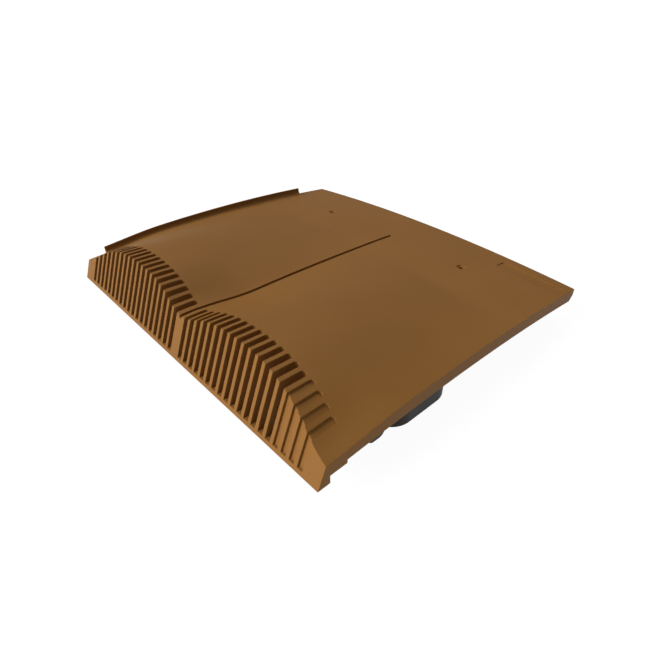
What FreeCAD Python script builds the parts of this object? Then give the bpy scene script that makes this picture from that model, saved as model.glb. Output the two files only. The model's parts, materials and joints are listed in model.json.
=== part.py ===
"""Ventilating roof tile: a moulded tile with a slotted double hood, and the duct tray under it.

Millimetres. X runs across the roof, Y up the slope and Z away from the roof. The origin is the
middle of the hood's lower front edge, which rests on the course of tiles below.
"""

import FreeCAD, Part
import math
import os

V = FreeCAD.Vector

# Tile outline
TILE_WIDTH = 340.0
TILE_LENGTH = 307.0
SKIN = 3.2
SIDE_WALL = 3.0
CROWN_HEIGHT = 29.7
CROWN_Y = 110.0
ACROSS_RADIUS = 2068.0
ALONG_RADIUS = 1732.0
HEAD_CORNER = 1.5

# Slotted front
FRONT_SLOPE = 0.392
FRONT_WALL = 3.2
HUMP_RISE = 20.9
HUMP_FOOT_Y = 205.0
HUMP_EASE = 0.2
VALLEY_START_Y = 12.0
VALLEY_FOOT_Y = 84.0
VALLEY_DIP = 2.0
VALLEY_SPREAD = 36.0
DIP_FADE_Y = 140.0
CREST_START_Y = 18.0
# Height of the hood's crest at stations outward from the middle of the tile
CREST = (
    (0.0, 33.2), (12.0, 35.3), (28.0, 41.1), (44.0, 44.9), (60.0, 46.4), (76.0, 46.8),
    (92.0, 46.2), (108.0, 44.0), (120.0, 40.6), (131.0, 36.6), (142.0, 31.2), (151.0, 25.7),
    (160.0, 20.9), (170.0, 17.0),
)

# Slots
SLOT_PITCH = 8.0
SLOT_WIDTH = 4.5
SLOTS_EACH_SIDE = 19
BLIND_SLOTS = 4
SLOT_FLOOR = 3.0
SLOT_RUN = 19.0
BLIND_RUN = 20.5
BLIND_DEPTH = 2.0
SLOT_END_FLATS = 6
BLADE_DEPTH = 10.0
BLADE_DROP = 9.0
BLADE_BACK = 2.75

# Mock joint between the two halves
JOINT_WIDTH = 3.2
JOINT_DEPTH = 2.0
JOINT_TAPER_Y = 130.0
JOINT_END_DEPTH = 1.5
JOINT_END_TO_HEAD = 57.0

# Side walls, as heights of their lower edges
SIDE_EDGE_HEIGHT = 11.7
TAIL_FOOT_LENGTH = 10.0
TAIL_STEP_HEIGHT = 6.6
TAIL_STEP_END = 24.0
HEAD_CHAMFER_LENGTH = 5.5
HEAD_CHAMFER_HEIGHT = 7.6

# Weather fin on the left edge
FIN_HEIGHT = 6.8
FIN_THICK = 1.7
FIN_START_Y = 23.5
FIN_END_TO_HEAD = 40.0
FIN_FOOT = 4.0
FIN_ROOT = 6.0

# Nail holes and the bare badge recess
NAIL_SPACING = 174.0
NAIL_TO_HEAD = 58.0
NAIL_RADIUS = 2.25
NAIL_DIMPLE_RADIUS = 4.2
NAIL_DIMPLE_DEPTH = 0.9
NAIL_BOSS_RADIUS = 6.5
NAIL_BOSS_DEPTH = 4.0
BADGE_TO_EDGE = 36.0
BADGE_TO_HEAD = 18.8
BADGE_SIZE = (61.0, 13.0)
BADGE_CORNER = 2.0
BADGE_DEPTH = 0.7

# Ribs and batten nibs under the tile
RIB_THICK = 2.0
RIB_DEPTH = 5.0
LONG_RIBS = (-128.0, -44.0, 0.0, 44.0, 128.0)
CROSS_RIB_COUNT = 3
RIBS_BEHIND_THROAT = 38.0
RIBS_BEFORE_NAILS = 9.0
NIB_SPACING = 200.0
NIB_WIDTH = 34.0
NIB_TO_HEAD = 37.0
NIB_THICK = 9.0
NIB_REACH = 14.0
NIB_GUSSET = 8.0
HOOD_RIB_END = 40.0

# Duct tray
TRAY_WALL = 2.5
THROAT_FRONT_Y = 79.0
THROAT_BACK_Y = 150.0
THROAT_CORNER = 19.0
THROAT_BOTTOM = -20.0
CHAMBER_FRONT_Y = 44.0
CHAMBER_FLOOR = 6.0
CHAMBER_CORNER = 8.0
WEIR_TOP = 25.0
TRAY_GAP = 0.3
WEB_THICK = 2.0
WEB_SPACING = 104.0

# Snap fit that holds the tray
LUG_TO_WALL = 1.7
LUG_THICK = 2.6
LUG_TO_CHAMBER = 5.1
LUG_START_Y = 47.0
LUG_END_Y = 62.0
LUG_BOTTOM = 0.0
LUG_CORNER = 5.0
CATCH_BOTTOM = 11.6
CATCH_HEIGHT = 1.8
CATCH_GAP = 0.51
CATCH_BITE = 0.9
BARB_HEIGHT = 2.0
BRACKET_SPACING = 180.0
BRACKET_WIDTH = 24.0
BRACKET_THICK = 2.5
TONGUE_REACH = 7.0
TONGUE_THICK = 2.5
TONGUE_WIDTH = 18.0
TONGUE_DROP = 5.0

HALF_WIDTH = TILE_WIDTH / 2
INNER_HALF = HALF_WIDTH - SIDE_WALL
HEAD_CHAMFER_Y = TILE_LENGTH - HEAD_CHAMFER_LENGTH
JOINT_END_Y = TILE_LENGTH - JOINT_END_TO_HEAD
FIN_END_Y = TILE_LENGTH - FIN_END_TO_HEAD
NAIL_Y = TILE_LENGTH - NAIL_TO_HEAD
NIB_FACE_Y = TILE_LENGTH - NIB_TO_HEAD
LUG_OUTER = INNER_HALF - LUG_TO_WALL
TRAY_HALF_WIDTH = LUG_OUTER - LUG_THICK - LUG_TO_CHAMBER
CREST_TOP = max(z for _, z in CREST)
BELOW = 90.0
ABOVE = CREST_TOP + 10.0
CLEAR = 5.0
SURFACE_SPANS = 13
JOINT_SPANS = 12


def plain_height(x, y):
    """Top of the plain cambered tile, without its humps."""
    along = (y - CROWN_Y) ** 2 / (2 * ALONG_RADIUS)
    across = x ** 2 / (2 * ACROSS_RADIUS)
    return CROWN_HEIGHT - along - across


def swell(x):
    """Rise of the two humps over the plain tile, at full share."""
    return HUMP_RISE * math.sin(math.pi * abs(x) / HALF_WIDTH)


def swell_share(y):
    """Share of the humps' rise that is left at y: it runs down evenly to nothing at their foot."""
    t = (y - CREST_START_Y) / (HUMP_FOOT_Y - CREST_START_Y)
    if t >= 1:
        return 0.0
    return 1 - t + HUMP_EASE * math.sin(2 * math.pi * t) / (2 * math.pi)


def falling(y, start, end):
    """Smooth share that is 1 up to the start and 0 from the end on."""
    t = min(max((y - start) / (end - start), 0.0), 1.0)
    return (1 + math.cos(math.pi * t)) / 2


def valley_dip(x, y):
    """How far the valley between the two halves lies under the plain tile; it fades up the slope."""
    spread = math.exp(-(x / VALLEY_SPREAD) ** 2)
    return VALLEY_DIP * spread * falling(y, DIP_FADE_Y, TILE_LENGTH)


def hump_height(x, y):
    """Top of the tile with its humps and valley, before the crest's own shape."""
    return plain_height(x, y) - valley_dip(x, y) + swell_share(y) * swell(x)


def crest_height(x):
    """Height of the crest, straight between its stations."""
    x = abs(x)
    for (x0, z0), (x1, z1) in zip(CREST, CREST[1:]):
        if x <= x1:
            return z0 + (z1 - z0) * (x - x0) / (x1 - x0)
    return CREST[-1][1]


def front_y(z):
    """Outer face of the slanted front at height z."""
    return FRONT_SLOPE * z


def top_height(x, y):
    """Top of the tile with its humps, which meets the slanted front along the crest."""
    crest = crest_height(x)
    extra = crest - hump_height(x, front_y(crest))
    return hump_height(x, y) + falling(y, VALLEY_START_Y, VALLEY_FOOT_Y) * extra


def top_face():
    """Smooth surface through the tile's top, a little past its front and head."""
    half = [x * HALF_WIDTH / CREST[-1][0] for x, _ in CREST]
    xs = [-x for x in reversed(half[1:])] + half
    foot = CREST_START_Y - 2 * CLEAR
    span = (TILE_LENGTH + CLEAR - foot) / SURFACE_SPANS
    ys = [-CLEAR] + [foot + span * i for i in range(SURFACE_SPANS + 1)]
    surface = Part.BSplineSurface()
    surface.interpolate([[V(x, y, top_height(x, y)) for y in ys] for x in xs])
    return surface.toShape()


def lowered(face, drop):
    """Everything within BELOW under the given top face, once the face is lowered by drop."""
    moved = face.copy()
    moved.translate(V(0, 0, -drop))
    return moved.extrude(V(0, 0, -BELOW))


def box(x0, x1, y0, y1, z0, z1):
    return Part.makeBox(x1 - x0, y1 - y0, z1 - z0, V(x0, y0, z0))


def prism_x(points, x0, x1):
    """Solid of a closed outline of (y, z) points, from x0 to x1."""
    wire = Part.makePolygon([V(x0, y, z) for y, z in points + points[:1]])
    return Part.Face(wire).extrude(V(x1 - x0, 0, 0))


def rounded_block(x0, x1, y0, y1, z0, z1, radius):
    """Upright block with rounded corners in plan."""
    block = box(x0, x1, y0, y1, z0, z1)
    upright = [e for e in block.Edges if abs(e.BoundBox.ZLength - (z1 - z0)) < 1e-6
               and e.BoundBox.XLength < 1e-6]
    return block.makeFillet(radius, upright)


def side_edge(y):
    """Lower edge of the side walls, which follows the tile's camber up the slope."""
    return SIDE_EDGE_HEIGHT - (y - CROWN_Y) ** 2 / (2 * ALONG_RADIUS)


def side_profile():
    """Outline of the whole tile seen from its side, open to any height above."""
    start = V(0, TAIL_STEP_END, side_edge(TAIL_STEP_END))
    middle_y = (TAIL_STEP_END + HEAD_CHAMFER_Y) / 2
    middle = V(0, middle_y, side_edge(middle_y))
    end = V(0, HEAD_CHAMFER_Y, side_edge(HEAD_CHAMFER_Y))
    corners = [
        end,
        V(0, TILE_LENGTH, HEAD_CHAMFER_HEIGHT),
        V(0, TILE_LENGTH, ABOVE),
        V(0, front_y(ABOVE), ABOVE),
        V(0, 0, 0),
        V(0, TAIL_FOOT_LENGTH, 0),
        V(0, TAIL_FOOT_LENGTH, TAIL_STEP_HEIGHT),
        V(0, TAIL_STEP_END, TAIL_STEP_HEIGHT),
        start,
    ]
    edges = [Part.Arc(start, middle, end).toShape()]
    edges += [Part.LineSegment(a, b).toShape() for a, b in zip(corners, corners[1:])]
    return Part.Face(Part.Wire(edges))


def tile_block(face):
    """The tile as a full block under its top, cut to its side outline and head corners."""
    outline = side_profile()
    outline.translate(V(-HALF_WIDTH, 0, 0))
    block = lowered(face, 0).common(outline.extrude(V(TILE_WIDTH, 0, 0)))
    plan = rounded_block(-HALF_WIDTH, HALF_WIDTH, -HALF_WIDTH, TILE_LENGTH, -CLEAR, BELOW, HEAD_CORNER)
    return block.common(plan)


def tile_hollow(face):
    """Space inside the tile: under the skin, between the side walls and behind the front."""
    head = TILE_LENGTH + CLEAR
    points = [
        (front_y(-CLEAR) + FRONT_WALL, -CLEAR), (head, -CLEAR), (head, ABOVE),
        (front_y(ABOVE) + FRONT_WALL, ABOVE),
    ]
    return lowered(face, SKIN).common(prism_x(points, -INNER_HALF, INNER_HALF))


def slot_places():
    """Index of each slot from the middle; the middle one is left out as a plain bar."""
    return [i for i in range(-SLOTS_EACH_SIDE, SLOTS_EACH_SIDE + 1) if i != 0]


def slot_cutter(index, run):
    """Upright slot from in front of the tile to a rounded end behind the crest."""
    x = index * SLOT_PITCH
    half = SLOT_WIDTH / 2
    end = front_y(crest_height(x)) + run - half
    turns = [math.pi * i / SLOT_END_FLATS for i in range(SLOT_END_FLATS + 1)]
    plan = [V(x + half, -CLEAR, SLOT_FLOOR)]
    plan += [V(x + half * math.cos(a), end + half * math.sin(a), SLOT_FLOOR) for a in turns]
    plan += [V(x - half, -CLEAR, SLOT_FLOOR), plan[0]]
    return Part.Face(Part.makePolygon(plan)).extrude(V(0, 0, ABOVE))


def through_slots():
    """Slots that let the air in: all but the outermost on the right."""
    last = SLOTS_EACH_SIDE - BLIND_SLOTS
    return [slot_cutter(i, SLOT_RUN) for i in slot_places() if i <= last]


def grille_block(face):
    """Deep front and top round the open slots, which the slots then cut into blades."""
    far = TILE_LENGTH
    outline = [
        (front_y(0) + FRONT_WALL / 2, 0), (far, 0), (far, ABOVE), (front_y(ABOVE) + FRONT_WALL / 2, ABOVE),
    ]
    hollow = [
        (front_y(-CLEAR) + BLADE_DEPTH, -CLEAR), (far, -CLEAR), (far, ABOVE),
        (front_y(ABOVE) + BLADE_DEPTH, ABOVE),
    ]
    core = lowered(face, BLADE_DROP).common(prism_x(hollow, -HALF_WIDTH, HALF_WIDTH))
    near = SLOT_PITCH / 2
    shapes = []
    for side, count in ((-1, SLOTS_EACH_SIDE), (1, SLOTS_EACH_SIDE - BLIND_SLOTS)):
        xs = [side * (near + SLOT_PITCH * i) for i in range(count + 1)]
        back = Part.BSplineCurve()
        back.interpolate([V(x, front_y(crest_height(x)) + SLOT_RUN + BLADE_BACK, 0) for x in xs])
        corners = [back.EndPoint, V(xs[-1], 0, 0), V(xs[0], 0, 0), back.StartPoint]
        edges = [back.toShape()]
        edges += [Part.LineSegment(a, b).toShape() for a, b in zip(corners, corners[1:])]
        plan = Part.Face(Part.Wire(edges)).extrude(V(0, 0, ABOVE))
        solid = under_skin(face, prism_x(outline, *sorted((xs[0], xs[-1]))))
        shapes.append(solid.common(plan).cut(core))
    return shapes


def blind_slots(face):
    """Shallow recesses that carry the slots' rhythm on to the right edge."""
    points = [
        (front_y(-CLEAR) + BLIND_DEPTH, -CLEAR), (TILE_LENGTH, -CLEAR), (TILE_LENGTH, ABOVE),
        (front_y(ABOVE) + BLIND_DEPTH, ABOVE),
    ]
    core = lowered(face, BLIND_DEPTH).common(prism_x(points, 0, HALF_WIDTH))
    first = SLOTS_EACH_SIDE - BLIND_SLOTS + 1
    return [slot_cutter(i, BLIND_RUN).cut(core) for i in slot_places() if i >= first]


def mock_joint():
    """Groove down the middle, which gets shallow towards its upper end."""
    def depth(y):
        t = max(0.0, (y - JOINT_TAPER_Y) / (JOINT_END_Y - JOINT_TAPER_Y))
        return JOINT_DEPTH + (JOINT_END_DEPTH - JOINT_DEPTH) * t

    ys = [JOINT_END_Y * i / JOINT_SPANS for i in range(JOINT_SPANS + 1)]
    floor = Part.BSplineCurve()
    floor.interpolate([V(-JOINT_WIDTH / 2, y, top_height(0, y) - depth(y)) for y in ys])
    start = floor.StartPoint
    end = floor.EndPoint
    upper = [end, V(end.x, end.y, CREST_TOP), V(start.x, start.y, CREST_TOP), start]
    edges = [floor.toShape()]
    edges += [Part.LineSegment(a, b).toShape() for a, b in zip(upper, upper[1:])]
    return Part.Face(Part.Wire(edges)).extrude(V(JOINT_WIDTH, 0, 0))


def along_camber(x, y0, y1, rise):
    """Arc over the tile's edge at x from y0 to y1, at the given rise over its plain height."""
    def point(y):
        return V(x, y, plain_height(x, y) + rise)

    return point(y0), Part.Arc(point(y0), point((y0 + y1) / 2), point(y1)).toShape(), point(y1)


def add_weather_fin(shell):
    """Adds the thin upstand on the left edge, with a sloping inner foot on the tile's top."""
    outer = -HALF_WIDTH
    top_start, top, top_end = along_camber(outer, FIN_START_Y, FIN_END_Y, FIN_HEIGHT)
    low_start, low, low_end = along_camber(outer, FIN_START_Y, FIN_END_Y, -FIN_ROOT)
    upper_end = Part.LineSegment(top_end, low_end).toShape()
    lower_end = Part.LineSegment(low_start, top_start).toShape()
    fin = Part.Face(Part.Wire([top, upper_end, low, lower_end])).extrude(V(FIN_THICK, 0, 0))
    body = shell.fuse(fin).Solids[0]
    inner = outer + FIN_THICK
    least = (FIN_END_Y - FIN_START_Y) / 2
    on_inner = [e for e in body.Edges if abs(e.BoundBox.XMin - inner) < 0.01 and e.BoundBox.XLength < 0.05]
    foot = min((e for e in on_inner if e.Length > least), key=lambda e: e.CenterOfMass.z)
    return body.makeChamfer(FIN_FOOT, [foot])


def under_skin(face, solid):
    """The part of a solid that lies under the tile's top, sunk half way into its skin."""
    return solid.common(lowered(face, SKIN / 2))


def nail_places():
    return [(side * NAIL_SPACING / 2, NAIL_Y) for side in (-1, 1)]


def ribs(face):
    """Stiffening ribs under the plain part of the tile, and one behind the hood's middle bar."""
    first = THROAT_BACK_Y + RIBS_BEHIND_THROAT
    last = NAIL_Y - RIBS_BEFORE_NAILS
    step = (last - first) / (CROSS_RIB_COUNT - 1)
    across = [first + step * i for i in range(CROSS_RIB_COUNT)]
    inner = INNER_HALF + SIDE_WALL / 2
    half = RIB_THICK / 2
    shapes = [box(x - half, x + half, first - half, last + half, -BELOW / 2, BELOW) for x in LONG_RIBS]
    shapes += [box(-inner, inner, y - half, y + half, -BELOW / 2, BELOW) for y in across]
    grid = shapes[0].fuse(shapes[1:]).cut(lowered(face, SKIN + RIB_DEPTH))
    middle = FRONT_WALL / 2
    points = [
        (front_y(SLOT_FLOOR) + middle, SLOT_FLOOR), (HOOD_RIB_END - RIB_DEPTH, SLOT_FLOOR),
        (HOOD_RIB_END, BELOW / 2), (front_y(BELOW / 2) + middle, BELOW / 2),
    ]
    hood_rib = prism_x(points, -half, half)
    return [under_skin(face, grid), under_skin(face, hood_rib)]


def nail_bosses(face):
    """Round bosses that thicken the skin round each nail hole."""
    shapes = []
    for x, y in nail_places():
        low = plain_height(x, y) - SKIN - NAIL_BOSS_DEPTH
        shapes.append(under_skin(face, Part.makeCylinder(NAIL_BOSS_RADIUS, BELOW, V(x, y, low))))
    return shapes


def nibs(face):
    """Hooks that hang the tile over its batten, each with a sloping back."""
    shapes = []
    for side in (-1, 1):
        x = side * NIB_SPACING / 2
        skin = plain_height(x, NIB_FACE_Y) - SKIN
        low = skin - NIB_REACH
        back = NIB_FACE_Y + NIB_THICK
        points = [
            (NIB_FACE_Y, low), (back, low), (back + NIB_GUSSET, skin), (back + NIB_GUSSET, BELOW / 2),
            (NIB_FACE_Y, BELOW / 2),
        ]
        shapes.append(under_skin(face, prism_x(points, x - NIB_WIDTH / 2, x + NIB_WIDTH / 2)))
    return shapes


def catches():
    """Beads inside the side walls that the tray's lugs snap over."""
    reach = LUG_OUTER + CATCH_GAP
    shapes = []
    for side in (-1, 1):
        x0, x1 = sorted((side * reach, side * (INNER_HALF + SIDE_WALL / 2)))
        top = CATCH_BOTTOM + CATCH_HEIGHT
        shapes.append(box(x0, x1, LUG_START_Y, LUG_END_Y, CATCH_BOTTOM, top))
    return shapes


def bracket_foot_top():
    """Height of the seat that the tray's tongues rest on, the same on both sides."""
    x = BRACKET_SPACING / 2
    return plain_height(x, THROAT_BACK_Y) - SKIN - TONGUE_DROP - TONGUE_THICK


def brackets(face):
    """L-shaped brackets under the tile behind the throat."""
    shapes = []
    seat = bracket_foot_top()
    near = THROAT_BACK_Y + 2 * TRAY_GAP
    wall = near + TONGUE_REACH
    back = wall + BRACKET_THICK
    for side in (-1, 1):
        x = side * BRACKET_SPACING / 2
        x0 = x - BRACKET_WIDTH / 2
        x1 = x + BRACKET_WIDTH / 2
        points = [
            (near, seat - BRACKET_THICK), (back, seat - BRACKET_THICK), (back, BELOW / 2),
            (wall, BELOW / 2), (wall, seat), (near, seat),
        ]
        shapes.append(under_skin(face, prism_x(points, x0, x1)))
    return shapes


def badge_recess(face):
    """Shallow plain recess with rounded corners near the head's right corner."""
    x = HALF_WIDTH - BADGE_TO_EDGE
    y = TILE_LENGTH - BADGE_TO_HEAD
    long, short = BADGE_SIZE
    block = rounded_block(x - long / 2, x + long / 2, y - short / 2, y + short / 2,
                          -BELOW / 2, BELOW / 2, BADGE_CORNER)
    return block.cut(lowered(face, BADGE_DEPTH))


def nail_holes(face):
    """Nail holes, each in a shallow round dimple."""
    cutters = []
    for x, y in nail_places():
        cutters.append(Part.makeCylinder(NAIL_RADIUS, BELOW, V(x, y, -BELOW / 2)))
        floor = plain_height(x, y) - NAIL_DIMPLE_DEPTH
        cutters.append(Part.makeCylinder(NAIL_DIMPLE_RADIUS, BELOW, V(x, y, floor)))
    return cutters


def make_tile(face):
    """The moulded tile, one piece."""
    shell = add_weather_fin(tile_block(face).cut(tile_hollow(face)))
    under = ribs(face) + nail_bosses(face) + nibs(face) + catches() + brackets(face)
    shell = shell.fuse(grille_block(face) + under)
    cutters = through_slots() + blind_slots(face) + nail_holes(face)
    cutters += [mock_joint(), badge_recess(face)]
    return shell.cut(cutters).removeSplitter()


def walls_in_plan(y0, y1, z0, z1, radius, half_width, thick):
    """Upright tube, rounded in plan, with its outside at the given size."""
    outer = rounded_block(-half_width, half_width, y0, y1, z0, z1, radius)
    inner = rounded_block(-half_width + thick, half_width - thick, y0 + thick, y1 - thick, z0, z1,
                          radius - thick)
    return outer.cut(inner)


def tray_chamber(face):
    """Upper part of the tray: walls up to the tile's skin, and a floor in front of the throat."""
    top = BELOW / 2
    walls = walls_in_plan(CHAMBER_FRONT_Y, THROAT_BACK_Y, CHAMBER_FLOOR, top, CHAMBER_CORNER,
                          TRAY_HALF_WIDTH, TRAY_WALL)
    walls = walls.common(lowered(face, SKIN + TRAY_GAP))
    inner = TRAY_HALF_WIDTH - TRAY_WALL
    mouth = box(-inner, inner, CHAMBER_FRONT_Y, CHAMBER_FRONT_Y + TRAY_WALL, WEIR_TOP, top)
    floor = rounded_block(-TRAY_HALF_WIDTH, TRAY_HALF_WIDTH, CHAMBER_FRONT_Y, THROAT_BACK_Y,
                          CHAMBER_FLOOR, CHAMBER_FLOOR + TRAY_WALL, CHAMBER_CORNER)
    return walls.cut(mouth).fuse(floor)


def tray_throat():
    """Lower part of the tray: the duct down through the roof, still solid."""
    return rounded_block(-TRAY_HALF_WIDTH, TRAY_HALF_WIDTH, THROAT_FRONT_Y, THROAT_BACK_Y,
                         THROAT_BOTTOM, CHAMBER_FLOOR + TRAY_WALL, THROAT_CORNER)


def throat_bore():
    """Opening through the chamber's floor and the throat."""
    inner = TRAY_HALF_WIDTH - TRAY_WALL
    return rounded_block(-inner, inner, THROAT_FRONT_Y + TRAY_WALL, THROAT_BACK_Y - TRAY_WALL,
                         THROAT_BOTTOM - CLEAR, CHAMBER_FLOOR + TRAY_WALL + CLEAR,
                         THROAT_CORNER - TRAY_WALL)


def tray_webs():
    """Two webs that keep the long throat open."""
    shapes = []
    for side in (-1, 1):
        x = side * WEB_SPACING / 2
        shapes.append(box(x - WEB_THICK / 2, x + WEB_THICK / 2, THROAT_FRONT_Y + TRAY_WALL / 2,
                          THROAT_BACK_Y - TRAY_WALL / 2, THROAT_BOTTOM, CHAMBER_FLOOR + TRAY_WALL))
    return shapes


def snap_lug(side):
    """Finger beside the chamber with a barb that sits on the tile's catch."""
    inner = LUG_OUTER - LUG_THICK
    tip = LUG_OUTER + CATCH_BITE
    barb = CATCH_BOTTOM + CATCH_HEIGHT + TRAY_GAP
    finger = box(inner, LUG_OUTER, LUG_START_Y, LUG_END_Y, LUG_BOTTOM, barb + BARB_HEIGHT)
    low = [e for e in finger.Edges if e.BoundBox.ZMax < LUG_BOTTOM + 1e-6 and e.BoundBox.XLength > 1]
    finger = finger.makeFillet(LUG_CORNER, low)
    hook = box(inner, tip, LUG_START_Y, LUG_END_Y, barb, barb + BARB_HEIGHT)
    root = box(TRAY_HALF_WIDTH - TRAY_WALL / 2, LUG_OUTER, LUG_START_Y, LUG_END_Y, CHAMBER_FLOOR,
               CHAMBER_FLOOR + TRAY_WALL)
    lug = finger.fuse([hook, root])
    if side < 0:
        lug = lug.mirror(V(0, 0, 0), V(1, 0, 0))
    return lug


def tongues():
    """Tongues behind the tray that slide over the tile's brackets."""
    low = bracket_foot_top() + TRAY_GAP
    shapes = []
    for side in (-1, 1):
        x = side * BRACKET_SPACING / 2
        shapes.append(box(x - TONGUE_WIDTH / 2, x + TONGUE_WIDTH / 2, THROAT_BACK_Y - TRAY_WALL / 2,
                          THROAT_BACK_Y + TONGUE_REACH, low, low + TONGUE_THICK))
    return shapes


def make_tray(face):
    """The duct tray, one piece, which snaps in under the tile."""
    tray = tray_chamber(face).fuse(tray_throat()).cut(throat_bore())
    tray = tray.fuse(tray_webs() + [snap_lug(-1), snap_lug(1)] + tongues())
    return tray.removeSplitter()


def main():
    os.makedirs("parts", exist_ok=True)
    face = top_face()
    parts = {"vent_tile": make_tile(face), "duct_tray": make_tray(face)}
    for name, shape in parts.items():
        shape.exportStep(f"parts/{name}.step")


main()
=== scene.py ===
"""Looks of the ventilating roof tile: the moulded tile, its duct tray, light, floor and camera."""

import json
import math

import bmesh
import bpy
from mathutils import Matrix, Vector

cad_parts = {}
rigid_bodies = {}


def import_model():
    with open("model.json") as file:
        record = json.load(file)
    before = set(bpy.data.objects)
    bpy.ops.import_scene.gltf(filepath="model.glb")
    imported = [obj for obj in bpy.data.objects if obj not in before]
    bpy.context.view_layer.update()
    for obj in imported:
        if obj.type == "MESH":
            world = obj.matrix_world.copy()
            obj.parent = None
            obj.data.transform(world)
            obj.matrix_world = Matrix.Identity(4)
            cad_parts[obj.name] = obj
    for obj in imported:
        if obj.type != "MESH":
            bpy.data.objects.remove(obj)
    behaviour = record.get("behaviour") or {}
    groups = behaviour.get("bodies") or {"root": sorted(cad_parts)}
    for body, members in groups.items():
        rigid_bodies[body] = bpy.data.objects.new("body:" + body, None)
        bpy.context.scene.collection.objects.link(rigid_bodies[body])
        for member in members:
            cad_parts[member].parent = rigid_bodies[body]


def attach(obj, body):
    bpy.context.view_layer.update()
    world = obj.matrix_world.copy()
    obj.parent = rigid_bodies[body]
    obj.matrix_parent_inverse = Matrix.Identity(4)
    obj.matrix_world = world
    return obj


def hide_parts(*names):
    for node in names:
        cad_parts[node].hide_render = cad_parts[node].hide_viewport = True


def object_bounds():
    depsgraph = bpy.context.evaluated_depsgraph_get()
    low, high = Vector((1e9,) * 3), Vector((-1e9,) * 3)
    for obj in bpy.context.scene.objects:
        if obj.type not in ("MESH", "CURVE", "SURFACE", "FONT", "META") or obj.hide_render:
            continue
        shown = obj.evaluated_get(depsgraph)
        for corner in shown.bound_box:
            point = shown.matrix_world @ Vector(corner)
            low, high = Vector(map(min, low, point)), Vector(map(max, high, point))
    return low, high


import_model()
cad_low, cad_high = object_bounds()

MM = 0.001
EPS = 1e-5

# The cambered tile in millimetres, as its CAD node has it
HALF = 170.0
INNER = 167.0
WALL_MIDDLE = (HALF + INNER) / 2
LENGTH = 307.0
SKIN = 3.2
SUNK = SKIN / 2
CROWN_HEIGHT = 29.7
CROWN_Y = 110.0
ACROSS_RADIUS = 2068.0
ALONG_RADIUS = 1732.0
HEAD_CORNER = 1.5
ROUND_Y = LENGTH - HEAD_CORNER

# Hood: crest line, leaning front, the two humps and the valley between them
CREST = (
    (0.0, 33.2), (12.0, 35.3), (28.0, 41.1), (44.0, 44.9), (60.0, 46.4), (76.0, 46.8),
    (92.0, 46.2), (108.0, 44.0), (120.0, 40.6), (131.0, 36.6), (142.0, 31.2), (151.0, 25.7),
    (160.0, 20.9), (170.0, 17.0),
)
SLOPE = 0.392
CREST_START_Y = 18.0
HUMP_RISE = 20.9
HUMP_FOOT_Y = 205.0
HUMP_EASE = 0.2
CREASE_SOFT = 5.0
VALLEY_START_Y = 12.0
VALLEY_FOOT_Y = 84.0
VALLEY_DIP = 2.0
VALLEY_SPREAD = 36.0
DIP_FADE_Y = 140.0

# Slots: as wide inside as in the CAD node, and wider at the mouth by a mould's draft
PITCH = 8.0
SLOT_HALF = 2.25
MOUTH_HALF = 2.45
SLOTS = 19
SLOTS_END = SLOTS * PITCH + MOUTH_HALF
LAST_OPEN = 15
SILL = 3.0
RUN = 16.75
BLIND_RUN = 18.25
BLIND_DEPTH = 2.0

# Blades between the slots, on both sides of the middle
BLADE_DEPTH = 10.0
BLADE_DROP = 9.0
BLADE_BACK = 2.75
BLADE_RUN = SLOT_HALF + BLADE_BACK
BLADE_LEFT = -156.0
BLADE_RIGHT = 124.0
BLADE_MIDDLE = 4.0

# Mock joint groove along the middle
GROOVE_HALF = 1.6
GROOVE_DEPTH = 2.0
GROOVE_TAPER_Y = 130.0
GROOVE_END = 250.0
GROOVE_END_DEPTH = 1.5

# Weather fin on the left edge, with a round foot
FIN_RISE = 6.8
FIN_IN = -168.3
FIN_FOOT = 4.6
FIN_TOE = FIN_IN + FIN_FOOT
FIN_START = 23.5
FIN_END = 267.0

# Lower edges of the side walls
EDGE_HEIGHT = 11.7
FOOT_END = 10.0
STEP_HEIGHT = 6.6
STEP_END = 24.0
CHAMFER_Y = 301.5
CHAMFER_HEIGHT = 7.6

# Nail holes with their seats and bosses, and the bare recess
NAIL_X = 87.0
NAIL_Y = 249.0
NAIL_RADIUS = 2.25
SEAT_RADIUS = 4.2
SEAT_DEPTH = 0.9
SEAT_CLEAR = 6.0
BOSS_RADIUS = 6.5
BOSS_DEPTH = 4.0
BOSS_INTO_SKIN = (0.2, 0.6)
RECESS_X = (103.5, 164.5)
RECESS_Y = (281.7, 294.7)
RECESS_CORNER = 2.0
RECESS_DEPTH = 0.7
RECESS_STEPS = 12
RECESS_CUT_TOP = 26.0

# What is moulded under the tile
LONG_RIBS = (-128.0, -44.0, 0.0, 44.0, 128.0)
CROSS_RIBS = (188.0, 214.0, 240.0)
RIB_HALF = 1.0
RIB_DEPTH = 5.0
RIB_STEPS = 9
CROSS_RIB_STEPS = 28
HOOD_RIB_LOW_Y = (2.8, 35.0)
HOOD_RIB_HIGH_Y = (14.0, 40.0)
HOOD_RIB_STEPS = 8
NIB_X = 100.0
NIB_HALF = 17.0
NIB_Y = 270.0
NIB_THICK = 9.0
NIB_REACH = 14.0
GUSSET_END = 286.7
GUSSET_LOW = 0.5
CATCH_IN = 165.81
CATCH_Y = (47.0, 62.0)
CATCH_Z = (11.6, 13.4)
BRACKET_X = 90.0
BRACKET_HALF = 12.0
BRACKET_Y = (150.6, 160.1)
BRACKET_THICK = 2.5
BRACKET_DROP = 7.5
BRACKET_DROP_Y = 150.0
BRACKET_TOP_Y = 160.0

# Edges: their rounding in millimetres, and angles in degrees
SHELL_ROUND = 0.2
UNDER_ROUND = 0.3
ROUND_SEGMENTS = 2
ROUND_ANGLE = 38
SHADE_ANGLE = 50
MIDDLE_WEIGHT = 0.4
MIDDLE_HALF = 1.7
MIDDLE_LOW = 15.0

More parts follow.
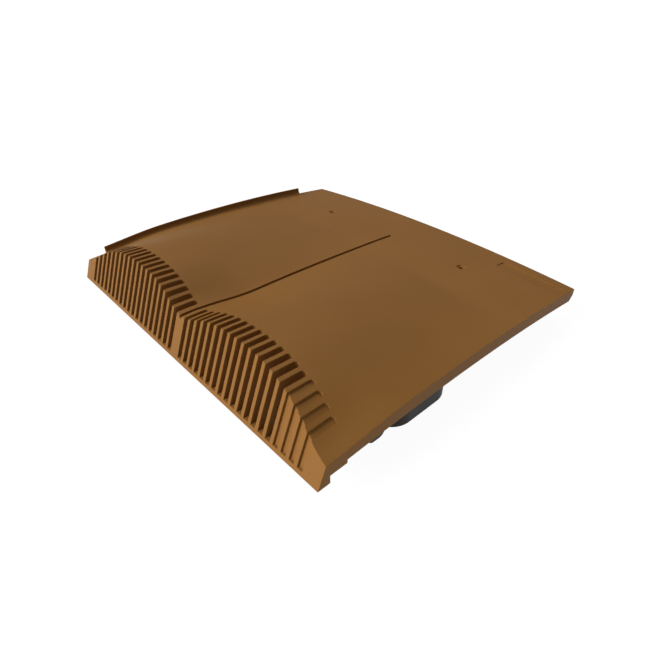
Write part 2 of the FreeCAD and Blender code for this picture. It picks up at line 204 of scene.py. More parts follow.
# Plastic: linear colours, mottle and grain, lengths in metres
BROWN = (0.26, 0.116, 0.026)
GREY = (0.06, 0.058, 0.055)
MOTTLE_SCALE = 22.0
MOTTLE_DETAIL = 5.0
MOTTLE_EDGES = (0.3, 0.7)
GRAIN_SCALE = 1400.0
GRAIN_DETAIL = 2.0
GRAIN_STRENGTH = 0.25
GRAIN_HEIGHT = 0.0001
ROUGH_SPREAD = 0.04
SPECULAR = 0.12

# Floor and world
FLOOR_REACH = 6.0
FLOOR_GAP = 0.0001
FLOOR_PALE = 0.9
FLOOR_ROUGH = 0.9
FLOOR_GLOW = 1.06
GLOW_SHARE = 0.9
WORLD_STRENGTH = 0.195

# Camera, solved from the tile's corners, edges and slots, in metres and degrees
PHOTO_PIXELS = 665
FOCAL_PIXELS = 512.25
SENSOR = 36.0
CAMERA_AT = (0.312375, -0.119669, 0.249408)
CAMERA_AZIMUTH = 47.303
CAMERA_ELEVATION = 35.945
CAMERA_CLIP = (0.01, 50.0)


def spread(a, b, n):
    """Places from a to b in n even steps."""
    return [a + (b - a) * i / n for i in range(n + 1)]


def slopes(points):
    """Slope of a smooth curve at each of its points, level at the first."""
    out = [0.0]
    for (x0, z0), (x1, z1), (x2, z2) in zip(points, points[1:], points[2:]):
        a, b = (z1 - z0) / (x1 - x0), (z2 - z1) / (x2 - x1)
        out.append((a * (x2 - x1) + b * (x1 - x0)) / (x2 - x0))
    (x0, z0), (x1, z1) = points[-2:]
    out.append((z1 - z0) / (x1 - x0))
    return out


CREST_SLOPES = slopes(CREST)


def crest(x):
    """Height of the crest line, a smooth curve through the points of CREST."""
    x = min(abs(x), HALF)
    i = next(k for k in range(len(CREST) - 1) if x <= CREST[k + 1][0])
    (x0, z0), (x1, z1) = CREST[i], CREST[i + 1]
    t = (x - x0) / (x1 - x0)
    ends = z0 * (1 + 2 * t) * (1 - t) ** 2 + z1 * t * t * (3 - 2 * t)
    turn = CREST_SLOPES[i] * t * (1 - t) ** 2 - CREST_SLOPES[i + 1] * t * t * (1 - t)
    return ends + (x1 - x0) * turn


def camber(y):
    """How far the tile falls off along the slope from its highest line."""
    return (y - CROWN_Y) ** 2 / (2 * ALONG_RADIUS)


def plain(x, y):
    """Top of the plain cambered tile, without its humps."""
    return CROWN_HEIGHT - camber(y) - x * x / (2 * ACROSS_RADIUS)


def swell(x):
    """Rise of the two humps over the plain tile at full share, with a soft crease between them."""
    x = abs(x)
    if x <= CREASE_SOFT:
        x = (x * x + CREASE_SOFT * CREASE_SOFT) / (2 * CREASE_SOFT)
    return HUMP_RISE * math.sin(math.pi * min(x, HALF) / HALF)


def share(y):
    """Share of the humps' rise that is left at y."""
    t = (y - CREST_START_Y) / (HUMP_FOOT_Y - CREST_START_Y)
    if t >= 1:
        return 0.0
    return 1 - t + HUMP_EASE * math.sin(2 * math.pi * t) / (2 * math.pi)


def falling(y, start, end):
    """Smooth share that is 1 up to the start and 0 from the end on."""
    t = min(max((y - start) / (end - start), 0.0), 1.0)
    return (1 + math.cos(math.pi * t)) / 2


def humps(x, y):
    """The tile's top with its humps and valley, before the crest's own shape."""
    dip = VALLEY_DIP * math.exp(-(x / VALLEY_SPREAD) ** 2) * falling(y, DIP_FADE_Y, LENGTH)
    return plain(x, y) - dip + share(y) * swell(x)


def top(x, y):
    """Height of the tile's upper face."""
    z = crest(x)
    return humps(x, y) + falling(y, VALLEY_START_Y, VALLEY_FOOT_Y) * (z - humps(x, SLOPE * z))


def behind(x, gap, drop, tries=12):
    """Where a plane a gap behind the front meets the upper face lowered by drop, by repeated tries."""
    z = crest(x) - drop
    for _ in range(tries):
        z = top(x, SLOPE * z + gap) - drop
    return SLOPE * z + gap, z


def groove_depth(y):
    """Depth of the mock joint groove, shallower towards its end."""
    t = min(max((y - GROOVE_TAPER_Y) / (GROOVE_END - GROOVE_TAPER_Y), 0), 1)
    return GROOVE_DEPTH - (GROOVE_DEPTH - GROOVE_END_DEPTH) * t


def side_low(y):
    """Lower edge of the side walls from the tail step to the head."""
    if y <= CHAMFER_Y:
        return EDGE_HEIGHT - camber(y)
    start = EDGE_HEIGHT - camber(CHAMFER_Y)
    return start + (CHAMFER_HEIGHT - start) * (y - CHAMFER_Y) / (LENGTH - CHAMFER_Y)


def corner(x, y):
    """Rounds the two head corners in plan."""
    r = HEAD_CORNER
    u, v = (abs(x) - HALF + r) / r, (y - ROUND_Y) / r
    if u <= 0 or v <= 0:
        return x, y
    across, along = u * math.sqrt(1 - v * v / 2), v * math.sqrt(1 - u * u / 2)
    return math.copysign(HALF - r + r * across, x), ROUND_Y + r * along


class Skin:
    """Collects faces by their corner points, in millimetres, and welds equal points."""

    def __init__(self):
        self.points = {}
        self.order = []
        self.faces = []

    def at(self, p):
        key = tuple(round(c, 4) for c in p)
        if key not in self.points:
            self.points[key] = len(self.order)
            self.order.append([c * MM for c in p])
        return self.points[key]

    def face(self, pts):
        """Adds a face. Neighbouring corners that fall together count once, and a line adds nothing."""
        ids = []
        for p in pts:
            i = self.at(p)
            if not ids or ids[-1] != i:
                ids.append(i)
        if len(ids) > 1 and ids[0] == ids[-1]:
            ids.pop()
        if len(set(ids)) > 2 and len(set(ids)) == len(ids):
            self.faces.append(ids)

    def strip(self, a, b):
        """Adds the faces between two lines with as many points each."""
        for i in range(len(a) - 1):
            self.face([a[i], a[i + 1], b[i + 1], b[i]])

    def object(self, name):
        mesh = bpy.data.meshes.new(name)
        mesh.from_pydata(self.order, [], self.faces)
        bm = bmesh.new()
        bm.from_mesh(mesh)
        bmesh.ops.recalc_face_normals(bm, faces=bm.faces)
        bm.to_mesh(mesh)
        bm.free()
        obj = bpy.data.objects.new(name, mesh)
        bpy.context.scene.collection.objects.link(obj)
        return obj


class Column:
    """One line of the mesh, up the front and over the top to the head.

    A column of a slot runs at one angle round the slot's ends. One between two slots is a part of the
    way from the first to the second.
    """

    def __init__(self, x, rise=0.0, beside=None, part=0.0):
        self.x = self.inside = x
        self.rise = rise
        self.slot = None
        self.arc = self.inner_arc = 0.0
        self.beside = beside
        self.part = part

    def in_groove(self):
        return abs(self.x) < GROOVE_HALF + EPS

    def in_walls(self):
        return abs(self.x) < INNER + EPS

    def in_blades(self):
        left = BLADE_LEFT - EPS < self.x < -BLADE_MIDDLE + EPS
        return left or BLADE_MIDDLE - EPS < self.x < BLADE_RIGHT + EPS

    def is_blind(self):
        return self.slot is not None and self.slot > LAST_OPEN


def slot_column(slot, angle):
    """Column at an angle round a slot's ends: its place at the mouth and the one inside."""
    c = Column(slot * PITCH - MOUTH_HALF * math.cos(angle))
    c.inside = slot * PITCH - SLOT_HALF * math.cos(angle)
    c.slot = slot
    c.arc, c.inner_arc = MOUTH_HALF * math.sin(angle), SLOT_HALF * math.sin(angle)
    return c


# Lines of the mesh between the slots and the fin, and between the slots and the right wall
LEFT_LINES = (-161.4, -159.0)
RIGHT_LINES = (156.6, 159.0, 161.5, 164.0)


def columns(arc=8):
    """All columns from the left edge to the right one, with arc steps round the ends of a slot."""
    cols = [Column(-HALF, rise=FIN_RISE), Column(FIN_IN, rise=FIN_RISE)]
    at_wall = math.degrees(math.acos((FIN_TOE + INNER) / FIN_FOOT))
    for a in map(math.radians, (0, 15, 30, at_wall, 60, 75)):
        cols.append(Column(FIN_TOE - FIN_FOOT * math.cos(a), rise=FIN_FOOT - FIN_FOOT * math.sin(a)))
    cols += [Column(x) for x in (FIN_TOE, *LEFT_LINES, BLADE_LEFT)]
    places = [i for i in range(-SLOTS, SLOTS + 1) if i]
    gap = PITCH - MOUTH_HALF
    for i, after in zip(places, places[1:] + [None]):
        cols += [slot_column(i, math.pi * m / arc) for m in range(arc + 1)]
        if i == -1:
            for x in (-BLADE_MIDDLE, -GROOVE_HALF, 0.0, GROOVE_HALF, BLADE_MIDDLE):
                cols.append(Column(x, beside=(i, after), part=(x + gap) / (2 * gap)))
        elif after is not None:
            cols.append(Column(i * PITCH + PITCH / 2, beside=(i, after), part=0.5))
    cols += [Column(x) for x in (*RIGHT_LINES, INNER)]
    return cols + [Column(HALF - x) for x in (HEAD_CORNER, HEAD_CORNER / 2, 0.0)]


COLUMNS = columns()

# Rows of a column: shares of the slots' run, the slot's end and the blades' back, each doubled for a
# step, then rows that ease over to those that all columns share. Among them are the ends of the
# groove and the fin, the fin's end doubled for its step.
NEAR = (0.10, 0.24, 0.40, 0.58, 0.76, 0.90)
EASE_RUN = 9.0
EASE = (0.35, 0.7)
SHARED = spread(60.0, 246.0, 31) + spread(GROOVE_END, FIN_END, 4) + spread(FIN_END, 297.0, 6)
SHARED += [CHAMFER_Y] + spread(ROUND_Y, LENGTH, 3)
SIDE_ROWS = spread(STEP_END, 54.0, 3) + spread(54.0, 294.0, 30)[1:] + [CHAMFER_Y, ROUND_Y]
ROW_END = len(NEAR) + 1
BLADE_ROW = ROW_END + 2
SHARED_ROW = ROW_END + 5 + len(EASE)
FIN_ROWS = (ROW_END + 1, SHARED_ROW + SHARED.index(FIN_END))
GROOVE_ROW = SHARED_ROW + SHARED.index(GROOVE_END)
LEVELS = 7
GROOVE_FRONT_Z = top(0, SLOPE * (crest(0) - GROOVE_DEPTH)) - GROOVE_DEPTH


def slot_row(i):
    """Crest line and length of the straight part of slot i."""
    return SLOPE * crest(i * PITCH), (RUN if i <= LAST_OPEN else BLIND_RUN)


def row_start(c):
    """Start and length of the rows beside the slots on one column."""
    if c.slot is not None:
        return slot_row(c.slot)
    if c.beside is not None:
        (a, run_a), (b, run_b) = map(slot_row, c.beside)
        return a + (b - a) * c.part, run_a + (run_b - run_a) * c.part
    near, run = slot_row(-SLOTS if c.x < 0 else SLOTS)
    edge, goal = (-FIN_TOE, FIN_START - RUN) if c.x < 0 else (HALF, SLOPE * crest(HALF))
    f = min(max((abs(c.x) - SLOTS_END) / (edge - SLOTS_END), 0), 1)
    return near + (goal - near) * f, run


def row_ys(c, arc):
    """Places up the slope of one column's points, from just behind the crest to the head."""
    base, run = row_start(c)
    end, back, last = base + run + arc, base + run + BLADE_RUN, base + run + EASE_RUN
    ys = [base + run * s for s in NEAR] + [end, end, back, back, last]
    return ys + [last + (SHARED[0] - last) * f for f in EASE] + SHARED


def levels(z_top, step=None):
    """Heights up the front of one column. With a step given, the last but one is there."""
    if step is None:
        return [0.0] + spread(SILL, z_top, LEVELS - 1)
    return [0.0] + spread(SILL, step, LEVELS - 2) + [z_top]


def front_line(c):
    return [(c.x, SLOPE * h, h) for h in levels(crest(c.x), GROOVE_FRONT_Z if c.in_groove() else None)]


def top_line(c):
    """Crest point and the points behind it."""
    z = crest(c.x)
    pts = [(c.x, SLOPE * z, z)]
    for k, y in enumerate(row_ys(c, c.arc), 1):
        x, y = corner(c.x, y)
        rise = c.rise if FIN_ROWS[0] <= k <= FIN_ROWS[1] else 0.0
        pts.append((x, y, top(x, y) + rise))
    return pts


def under_lines(c, gap, drop, last=None):
    """Front and top lines of an inner face: a gap behind the front and a drop under the top.

    With last given, the drop ends at that row and the skin's own thickness follows.
    """
    x = c.inside
    y0, z0 = behind(x, gap, drop)
    front = [(x, SLOPE * h + gap, h) for h in levels(z0)]
    line = [(x, y0, z0)]
    ys = row_ys(c, c.inner_arc)
    end = ys[ROW_END - 1]
    for k, y in enumerate(ys, 1):
        if k < ROW_END:
            y = max(y, y0 + (end - y0) * k / (ROW_END + 1))
        line.append((x, y, top(x, y) - (drop if last is None or k <= last else SKIN)))
    return front, line


def low_profile(x, start):
    """Lower edge of one side wall as points from its front to the head."""
    pts = [(x, start, 0.0), (x, FOOT_END, 0.0), (x, FOOT_END, STEP_HEIGHT), (x, STEP_END, STEP_HEIGHT)]
    return pts + [(x, y, side_low(y)) for y in SIDE_ROWS]


class Shell:
    """The tile's skin with its slots, blades, groove, fin and side walls.

    Each column has an outer front and top line. Each kind of inner face has a pair of such lines: the
    skin's inner side, the blades' backs and the blind slots' floors. A panel lies between a column
    and the next one on its right.
    """

    def __init__(self):
        self.skin = Skin()
        self.fronts = [front_line(c) for c in COLUMNS]
        self.tops = [top_line(c) for c in COLUMNS]
        self.inner, self.blades, self.floors = {}, {}, {}
        for n, c in enumerate(COLUMNS):
            if c.in_walls():
                self.inner[n] = under_lines(c, SKIN, SKIN)
            if c.in_blades():
                self.blades[n] = under_lines(c, BLADE_DEPTH, BLADE_DROP, BLADE_ROW)
            if c.is_blind():
                self.floors[n] = under_lines(c, BLIND_DEPTH, BLIND_DEPTH)

    def build(self, name):
        for n in range(len(COLUMNS) - 1):
            if not (COLUMNS[n].in_groove() and COLUMNS[n + 1].in_groove()):
                self.panel(n)
        for n in range(len(COLUMNS)):
            self.slot_side(n)
            self.blades_end(n)
        self.groove()
        for side in (-1, 1):
            self.side_wall(side)
        return self.skin.object(name)

    def backs(self, slot):
        """Lines that the walls of a slot run back to."""
        return self.blades if slot <= LAST_OPEN else self.floors

    def panel(self, n):
        """Outer and inner faces of one panel, and in a slot its two ends."""
        slot = COLUMNS[n].slot
        in_slot = slot is not None and slot == COLUMNS[n + 1].slot
        levels_to, first_row = (2, ROW_END) if in_slot else (None, 0)
        self.skin.strip(self.fronts[n][:levels_to], self.fronts[n + 1][:levels_to])
        self.skin.strip(self.tops[n][first_row:], self.tops[n + 1][first_row:])
        if n in self.inner and n + 1 in self.inner:
            self.inner_panel(n, in_slot and slot <= LAST_OPEN)
        if in_slot:
            self.slot_ends(n, self.backs(slot))

    def inner_panel(self, n, is_open):
        """Inner faces of one panel, with its edges at the tail and the head."""
        has_blades = n in self.blades and n + 1 in self.blades
        under = self.blades if has_blades else self.inner
        (front_a, top_a), (front_b, top_b) = under[n], under[n + 1]
        levels_to, first_row = (2, ROW_END) if is_open else (None, 0)
        self.skin.strip(front_a[:levels_to], front_b[:levels_to])
        self.skin.strip(top_a[first_row:], top_b[first_row:])
        rail = [self.fronts[n][0], self.fronts[n + 1][0]]
        if has_blades and n + 2 not in self.blades:
            rail.append(self.inner[n + 1][0][0])
        rail += [front_b[0], front_a[0]]
        if has_blades and n - 1 not in self.blades:
            rail.append(self.inner[n][0][0])
        self.skin.face(rail)
        self.skin.face([self.tops[n][-1], self.tops[n + 1][-1], top_b[-1], top_a[-1]])

    def slot_ends(self, n, backs):
        """Walls at the lower and upper end of a slot in one panel, and a blind slot's floor."""
        (front_a, top_a), (front_b, top_b) = backs[n], backs[n + 1]
        self.skin.face([self.fronts[n][1], self.fronts[n + 1][1], front_b[1], front_a[1]])
        self.skin.face([self.tops[n][ROW_END], self.tops[n + 1][ROW_END], top_b[ROW_END], top_a[ROW_END]])
        if backs is self.floors:
            self.skin.strip(front_a[1:], front_b[1:])
            self.skin.strip(top_a[:ROW_END + 1], top_b[:ROW_END + 1])

    def slot_side(self, n):
        """Side wall of a slot, on its first and last column."""
        c = COLUMNS[n]
        if c.slot is not None and c.arc < EPS:
            front, line = self.backs(c.slot)[n]
            self.skin.strip(self.fronts[n][1:], front[1:])
            self.skin.strip(self.tops[n][:ROW_END + 1], line[:ROW_END + 1])

    def blades_end(self, n):
        """Outer side of the first and last blade of a side."""
        if n in self.blades and (n - 1 not in self.blades or n + 1 not in self.blades):
            (thin_front, thin_top), (deep_front, deep_top) = self.inner[n], self.blades[n]
            self.skin.strip(thin_front, deep_front)
            self.skin.strip(thin_top[:BLADE_ROW + 2], deep_top[:BLADE_ROW + 2])

    def groove(self):
        """Panels of the mock joint groove, its end and its two walls."""
        s, fronts, tops, inner = self.skin, self.fronts, self.tops, self.inner
        ids = [n for n, c in enumerate(COLUMNS) if c.in_groove()]
        floor = {}
        for n in ids:
            c = COLUMNS[n]
            floor[n] = [(c.x, SLOPE * GROOVE_FRONT_Z, GROOVE_FRONT_Z)]
            floor[n] += [(c.x, y, top(0, y) - groove_depth(y)) for y in row_ys(c, c.arc)[:GROOVE_ROW]]
        for a, b in zip(ids, ids[1:]):
            s.strip(fronts[a][:LEVELS], fronts[b][:LEVELS])
            s.strip(floor[a], floor[b])
            s.face([floor[a][-1], floor[b][-1], tops[b][GROOVE_ROW], tops[a][GROOVE_ROW]])
            s.strip(tops[a][GROOVE_ROW:], tops[b][GROOVE_ROW:])
            s.strip(inner[a][0], inner[b][0])
            s.strip(inner[a][1], inner[b][1])
            s.face([fronts[a][0], fronts[b][0], inner[b][0][0], inner[a][0][0]])
            s.face([tops[a][-1], tops[b][-1], inner[b][1][-1], inner[a][1][-1]])
        for n in (ids[0], ids[-1]):
            s.strip(floor[n], tops[n][:GROOVE_ROW + 1])

    def side_wall(self, side):
        """One side wall: outer and inner face, its part of the head, and its lower edge."""
        s, fronts, tops, inner = self.skin, self.fronts, self.tops, self.inner
        out = 0 if side < 0 else len(COLUMNS) - 1
        wall = next(n for n, c in enumerate(COLUMNS) if abs(c.x - side * INNER) < EPS)
        between = list(range(out, wall - side, -side))
        x_in = COLUMNS[wall].x
        low_out, low_in = low_profile(COLUMNS[out].x, 0.0), low_profile(x_in, SKIN)
        head = SHARED.index(ROUND_Y) - len(SHARED)
        arc = tops[out][head:] + [tops[n][-1] for n in between[1:]]
        arc_low = [(x, y, side_low(y)) for x, y, _ in arc]
        in_end = (x_in, LENGTH, side_low(LENGTH))
        in_round = (x_in, ROUND_Y, side_low(ROUND_Y))
        s.face(fronts[out][:-1] + tops[out][:head + 1] + low_out[:0:-1])
        s.strip(arc[:-1], arc_low[:-1])
        s.face([arc[-2], arc[-1], inner[wall][1][-1], arc_low[-1], arc_low[-2]])
        s.face(inner[wall][0][:-1] + inner[wall][1] + [in_end] + low_in[::-1])
        s.face([in_round] + [low_out[-1]] + arc_low[1:] + [in_end])
        for k in range(1, len(low_out) - 1):
            s.face([low_out[k], low_out[k + 1], low_in[k + 1], low_in[k]])
        s.face([fronts[n][0] for n in between] + [low_in[0], low_in[1], low_out[1]])


def prism(s, outline, axis, a, b):
    """Closed prism of an outline between two places on an axis, added to s."""
    def put(p, w):
        return {"x": (w, p[0], p[1]), "y": (p[0], w, p[1]), "z": (p[0], p[1], w)}[axis]

    first = [put(p, a) for p in outline]
    second = [put(p, b) for p in outline]
    s.face(first)
    s.face(second)
    s.strip(first + first[:1], second + second[:1])


def turned(s, x, y, rings, turns=40):
    """Side of a solid of revolution about an upright line through x, y, from (radius, height) pairs."""
    loops = []
    for r, z in rings:
        angles = [2 * math.pi * i / turns for i in range(turns)]
        loops.append([(x + r * math.cos(a), y + r * math.sin(a), z) for a in angles])
    for a, b in zip(loops, loops[1:]):
        s.strip(a + a[:1], b + b[:1])
    return loops


def cutters():
    """Nail holes with their seats, and the bare recess near the head's right corner."""
    s = Skin()
    for x in (-NAIL_X, NAIL_X):
        seat = plain(x, NAIL_Y) - SEAT_DEPTH
        hole = [(NAIL_RADIUS, 0.0), (NAIL_RADIUS, seat)]
        loops = turned(s, x, NAIL_Y, hole + [(SEAT_RADIUS, seat), (SEAT_RADIUS, seat + SEAT_CLEAR)])
        s.face(loops[0])
        s.face(loops[-1])
    (x0, x1), (y0, y1), r = RECESS_X, RECESS_Y, RECESS_CORNER
    arc = [math.pi * i / RECESS_STEPS for i in range(RECESS_STEPS // 2 + 1)]
    xs = [x0 + r - r * math.cos(a) for a in arc]
    xs += spread(x0 + r, x1 - r, RECESS_STEPS)[1:-1] + [x1 - r + r * math.sin(a) for a in arc]
    down, up = [[], []], [[], []]
    for x in xs:
        d = max(x0 + r - x, x - x1 + r, 0.0)
        inset = r - math.sqrt(max(r * r - d * d, 0.0))
        for k, y in enumerate((y0 + inset, y1 - inset)):
            down[k].append((x, y, top(x, y) - RECESS_DEPTH))
            up[k].append((x, y, RECESS_CUT_TOP))
    s.strip(down[0], down[1])
    s.strip(up[0], up[1])
    s.strip(down[0], up[0])
    s.strip(down[1], up[1])
    for end in (0, -1):
        s.face([down[0][end], down[1][end], up[1][end], up[0][end]])
    return s.object("tile_cutters")


def add_ribs(s):
    """Long and cross ribs behind the throat, and the middle rib in the hood."""
    low = SKIN + RIB_DEPTH
    ys = spread(CROSS_RIBS[0] - RIB_HALF, CROSS_RIBS[-1] + RIB_HALF, RIB_STEPS)
    for x in LONG_RIBS:
        outline = [(y, top(x, y) - low) for y in ys] + [(y, top(x, y) - SUNK) for y in reversed(ys)]
        prism(s, outline, "x", x - RIB_HALF, x + RIB_HALF)
    xs = spread(-WALL_MIDDLE, WALL_MIDDLE, CROSS_RIB_STEPS)
    for y in CROSS_RIBS:
        outline = [(x, top(x, y) - low) for x in xs] + [(x, top(x, y) - SUNK) for x in reversed(xs)]
        prism(s, outline, "y", y - RIB_HALF, y + RIB_HALF)
    hood = [(y, SILL) for y in HOOD_RIB_LOW_Y]
    high = spread(*HOOD_RIB_HIGH_Y, HOOD_RIB_STEPS)
    prism(s, hood + [(y, top(0, y) - SUNK) for y in reversed(high)], "x", -RIB_HALF, RIB_HALF)


def add_boss(s, x):
    """Boss under a nail hole. Its walls end a little inside the skin."""
    z = plain(x, NAIL_Y) - SKIN
    low, (in_hole, outside) = z - BOSS_DEPTH, BOSS_INTO_SKIN
    rings = [(NAIL_RADIUS, z + in_hole), (NAIL_RADIUS, low)]
    loops = turned(s, x, NAIL_Y, rings + [(BOSS_RADIUS, low), (BOSS_RADIUS, z + outside)])
    s.strip(loops[0] + loops[0][:1], loops[-1] + loops[-1][:1])


def add_nib(s, x):
    """Batten nib with a gusset that slants up to the skin."""
    z = plain(x, NIB_Y) - SKIN
    low = z - NIB_REACH
    outline = [(NIB_Y, low), (NIB_Y + NIB_THICK, low), (GUSSET_END, z - GUSSET_LOW), (NIB_Y, z + SUNK)]
    prism(s, outline, "x", x - NIB_HALF, x + NIB_HALF)


def add_catch(s, side):
    """Bar on a side wall that holds a lug of the tray."""
    (y0, y1), (z0, z1) = CATCH_Y, CATCH_Z
    a, b = sorted((side * CATCH_IN, side * WALL_MIDDLE))
    prism(s, [(y0, z0), (y1, z0), (y1, z1), (y0, z1)], "x", a, b)


def add_bracket(s, x):
    """Angle under the skin that a tongue of the tray rests on."""
    y0, y1 = BRACKET_Y
    seat = plain(x, BRACKET_DROP_Y) - SKIN - BRACKET_DROP
    foot, back, over = seat - BRACKET_THICK, y1 - BRACKET_THICK, top(x, BRACKET_TOP_Y) - SUNK
    outline = [(y0, foot), (y1, foot), (y1, over), (back, over), (back, seat), (y0, seat)]
    prism(s, outline, "x", x - BRACKET_HALF, x + BRACKET_HALF)


def under_forms():
    """What is moulded under the tile."""
    s = Skin()
    add_ribs(s)
    for side in (-1, 1):
        add_boss(s, side * NAIL_X)
        add_nib(s, side * NIB_X)
        add_catch(s, side)
        add_bracket(s, side * BRACKET_X)
    return s.object("tile_under")


def join(into, other):
    """Adds the other object's mesh to the first object's and removes the other object."""
    bm = bmesh.new()
    bm.from_mesh(into.data)
    bm.from_mesh(other.data)
    bm.to_mesh(into.data)
    bm.free()
    bpy.data.objects.remove(other)


def apply_modifiers(obj):
    graph = bpy.context.evaluated_depsgraph_get()
    mesh = bpy.data.meshes.new_from_object(obj.evaluated_get(graph))
    obj.modifiers.clear()
    obj.data = mesh


def cut_away(obj, cutter):
    m = obj.modifiers.new("cut", "BOOLEAN")
    m.operation = "DIFFERENCE"
    m.solver = "EXACT"
    m.object = cutter
    apply_modifiers(obj)
    bpy.data.objects.remove(cutter)


def soften(obj, width):
    """Small rounded edges, as a mould leaves them, narrower along the groove and on the middle ribs."""
    bm = bmesh.new()
    bm.from_mesh(obj.data)
    weight = bm.edges.layers.float.new("bevel_weight_edge")
    for face in bm.faces:
        face.smooth = True
    for edge in bm.edges:
        if edge.calc_face_angle(0) > math.radians(ROUND_ANGLE):
            ends = [v.co / MM for v in edge.verts]
            in_middle = all(abs(p.x) < MIDDLE_HALF and p.z > MIDDLE_LOW for p in ends)
            edge[weight] = MIDDLE_WEIGHT if in_middle else 1.0
    bm.to_mesh(obj.data)
    bm.free()
    m = obj.modifiers.new("edges", "BEVEL")
    m.width = width * MM
    m.segments = ROUND_SEGMENTS
    m.limit_method = "WEIGHT"
    m.use_clamp_overlap = True
    apply_modifiers(obj)


def settle_normals(obj):
    """Smooth shading over the rounded edges, broken only at the sharp ones."""
    mesh = obj.data
    for polygon in mesh.polygons:
        polygon.use_smooth = True
    if "custom_normal" in mesh.attributes:
        mesh.attributes.remove(mesh.attributes["custom_normal"])
    mesh.set_sharp_from_angle(angle=math.radians(SHADE_ANGLE))
    m = obj.modifiers.new("normals", "WEIGHTED_NORMAL")
    m.keep_sharp = True
    apply_modifiers(obj)


def noise(tree, scale, detail):
    """Output of a noise texture that stays with the piece."""
    where = tree.nodes.new("ShaderNodeTexCoord")
    node = tree.nodes.new("ShaderNodeTexNoise")
    node.inputs["Scale"].default_value = scale
    node.inputs["Detail"].default_value = detail
    tree.links.new(where.outputs["Object"], node.inputs["Vector"])
    return node.outputs["Fac"]


def plastic(name, colour, rough, mottle):
    """Moulded matte plastic: a slight mottle in its colour and a fine grain in its surface."""
    mat = bpy.data.materials.new(name)
    mat.use_nodes = True
    tree = mat.node_tree
    shader = tree.nodes["Principled BSDF"]
    shader.inputs["Specular IOR Level"].default_value = SPECULAR
    ramp = tree.nodes.new("ShaderNodeValToRGB")
    low, high = ramp.color_ramp.elements
    low.position, high.position = MOTTLE_EDGES
    low.color = [c * (1 - mottle) for c in colour] + [1]
    high.color = [c * (1 + mottle) for c in colour] + [1]
    tree.links.new(noise(tree, MOTTLE_SCALE, MOTTLE_DETAIL), ramp.inputs["Fac"])
    tree.links.new(ramp.outputs["Color"], shader.inputs["Base Color"])
    grain = noise(tree, GRAIN_SCALE, GRAIN_DETAIL)
    sheen = tree.nodes.new("ShaderNodeMapRange")
    sheen.inputs["To Min"].default_value = rough - ROUGH_SPREAD
    sheen.inputs["To Max"].default_value = rough + ROUGH_SPREAD
    tree.links.new(grain, sheen.inputs["Value"])
    tree.links.new(sheen.outputs["Result"], shader.inputs["Roughness"])
    bump = tree.nodes.new("ShaderNodeBump")
    bump.inputs["Strength"].default_value = GRAIN_STRENGTH
    bump.inputs["Distance"].default_value = GRAIN_HEIGHT
    tree.links.new(grain, bump.inputs["Height"])
    tree.links.new(bump.outputs["Normal"], shader.inputs["Normal"])
    return mat


def paint(obj, material):
    obj.data.materials.clear()
    obj.data.materials.append(material)


def sun(name, source, strength, softness):
    """Soft far lamp that shines from the direction of its source."""
    data = bpy.data.lights.new(name, "SUN")
    data.energy = strength
    data.angle = math.radians(softness)
    obj = bpy.data.objects.new(name, data)
    bpy.context.scene.collection.objects.link(obj)
    obj.rotation_mode = "QUATERNION"
    obj.rotation_quaternion = Vector(source).to_track_quat("Z", "Y")


def seen_by(tree, *rays):
    """Output that is 1 for the two named kinds of ray and 0 for others."""
    path = tree.nodes.new("ShaderNodeLightPath")
    either = tree.nodes.new("ShaderNodeMath")
    either.operation = "MAXIMUM"
    for ray, socket in zip(rays, either.inputs):
        tree.links.new(path.outputs[ray], socket)
    return either.outputs[0]


def mixed(tree, part, first, second):
    """Output of a mix that goes from the first shader to the second as part goes from 0 to 1."""
    mix = tree.nodes.new("ShaderNodeMixShader")
    for source, socket in zip((part, first, second), mix.inputs):
        tree.links.new(source, socket)
    return mix.outputs[0]


def floor_material():
    """Pale floor that shows almost white in the picture, keeps a soft shadow and is clear from below."""
    mat = bpy.data.materials.new("pale_floor")
    mat.use_nodes = True
    tree = mat.node_tree
    shader = tree.nodes["Principled BSDF"]
    shader.inputs["Base Color"].default_value = (FLOOR_PALE, FLOOR_PALE, FLOOR_PALE, 1)
    shader.inputs["Roughness"].default_value = FLOOR_ROUGH
    glow = tree.nodes.new("ShaderNodeEmission")
    glow.inputs["Strength"].default_value = FLOOR_GLOW
    part = tree.nodes.new("ShaderNodeMath")
    part.operation = "MULTIPLY"
    part.inputs[1].default_value = GLOW_SHARE
    tree.links.new(seen_by(tree, "Is Camera Ray", "Is Glossy Ray"), part.inputs[0])
    pale = mixed(tree, part.outputs[0], shader.outputs[0], glow.outputs[0])
    clear = tree.nodes.new("ShaderNodeBsdfTransparent")
    side = tree.nodes.new("ShaderNodeNewGeometry")
    surface = mixed(tree, side.outputs["Backfacing"], pale, clear.outputs[0])
    tree.links.new(surface, tree.nodes["Material Output"].inputs["Surface"])
    return mat


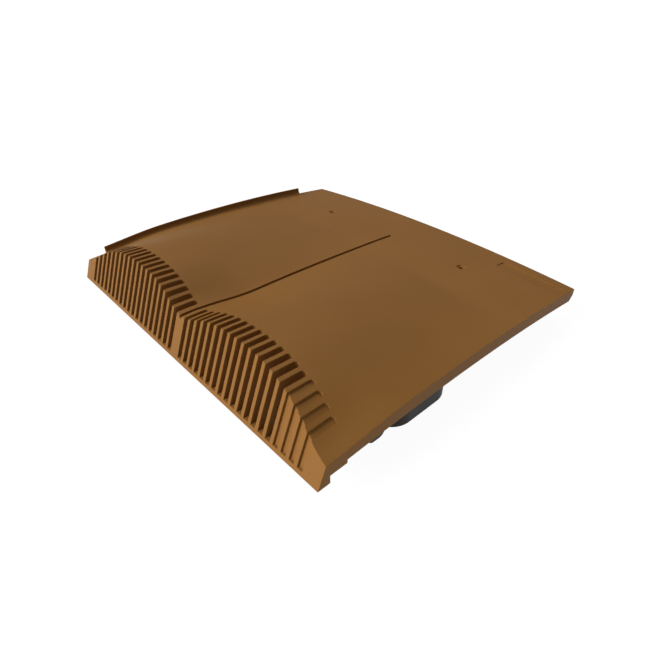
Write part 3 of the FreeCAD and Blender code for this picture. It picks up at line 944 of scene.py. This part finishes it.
def build_floor():
    z = cad_low[2] - FLOOR_GAP
    corners = [(x * FLOOR_REACH, y * FLOOR_REACH, z) for x, y in ((-1, -1), (1, -1), (1, 1), (-1, 1))]
    mesh = bpy.data.meshes.new("floor")
    mesh.from_pydata(corners, [], [(0, 1, 2, 3)])
    mesh.materials.append(floor_material())
    floor = bpy.data.objects.new("floor", mesh)
    bpy.context.scene.collection.objects.link(floor)
    return floor


def build_world():
    """World that lights softly and looks white where the camera sees it."""
    world = bpy.data.worlds.new("studio")
    bpy.context.scene.world = world
    world.use_nodes = True
    tree = world.node_tree
    soft = tree.nodes["Background"]
    soft.inputs["Strength"].default_value = WORLD_STRENGTH
    white = tree.nodes.new("ShaderNodeBackground")
    for background in (soft, white):
        background.inputs["Color"].default_value = (1, 1, 1, 1)
    seen = seen_by(tree, "Is Camera Ray", "Is Transmission Ray")
    surface = mixed(tree, seen, soft.outputs[0], white.outputs[0])
    tree.links.new(surface, tree.nodes["World Output"].inputs["Surface"])


def build_camera():
    data = bpy.data.cameras.new("camera")
    data.sensor_width = SENSOR
    data.lens = SENSOR * FOCAL_PIXELS / PHOTO_PIXELS
    data.clip_start, data.clip_end = CAMERA_CLIP
    camera = bpy.data.objects.new("camera", data)
    bpy.context.scene.collection.objects.link(camera)
    azimuth, elevation = math.radians(CAMERA_AZIMUTH), math.radians(CAMERA_ELEVATION)
    flat = math.cos(elevation)
    back = Vector((math.sin(azimuth) * flat, -math.cos(azimuth) * flat, math.sin(elevation)))
    camera.location = CAMERA_AT
    camera.rotation_mode = "QUATERNION"
    camera.rotation_quaternion = (-back).to_track_quat("-Z", "Y")
    bpy.context.scene.camera = camera


tile = Shell().build("tile_moulding")
soften(tile, SHELL_ROUND)
cut_away(tile, cutters())
under = under_forms()
soften(under, UNDER_ROUND)
join(tile, under)
paint(tile, plastic("moulded_brown", BROWN, rough=0.55, mottle=0.03))
settle_normals(tile)
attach(tile, "root")
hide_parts("vent_tile")

grey = plastic("moulded_grey", GREY, rough=0.5, mottle=0.05)
for obj in bpy.data.objects:
    if obj.type == "MESH" and obj.name.startswith("duct_tray"):
        paint(obj, grey)

floor = build_floor()
build_world()
sun("key", source=(-0.3, -0.86, 0.42), strength=3.1, softness=28)
sun("over", source=(-0.35, 0.3, 0.9), strength=0.9, softness=60)
build_camera()
bpy.context.scene.view_settings.view_transform = "Standard"
